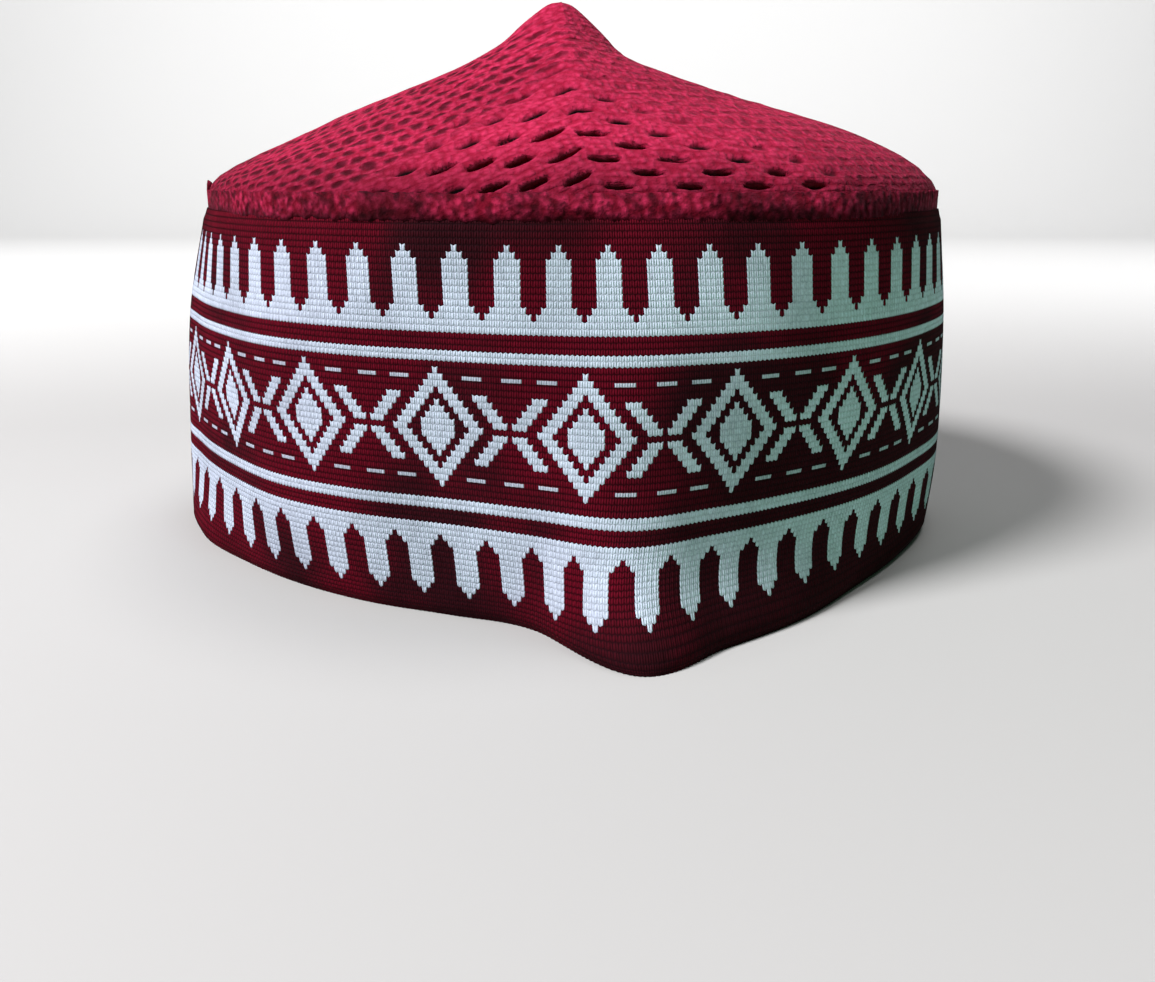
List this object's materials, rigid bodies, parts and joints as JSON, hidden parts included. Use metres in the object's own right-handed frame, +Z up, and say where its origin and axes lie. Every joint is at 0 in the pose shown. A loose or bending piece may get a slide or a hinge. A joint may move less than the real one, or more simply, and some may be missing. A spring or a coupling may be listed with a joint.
{
  "type": "knitted prayer cap",
  "caption": "Soft knitted prayer cap: a patterned two-colour band under an openwork crown that rises to a low peak, open below for the head.",
  "frame": {"origin": "under the middle of the whole cap, on the surface it rests on", "axes": "+Z up through the peak, -Y towards the front crease, +X to the right as seen from the front"},
  "size_m": [0.1976, 0.1878, 0.1264],
  "materials": {
    "patterned_knit": "fine jacquard knit in dark maroon and white",
    "openwork_knit": "soft openwork knit in crimson, matt and slightly fuzzy",
    "seam_yarn": "lumpy linked yarn, matt"
  },
  "bodies": {
    "root": {"band": "patterned_knit", "join_seam": "seam_yarn", "crown": "openwork_knit"}
  },
  "joints": []
}
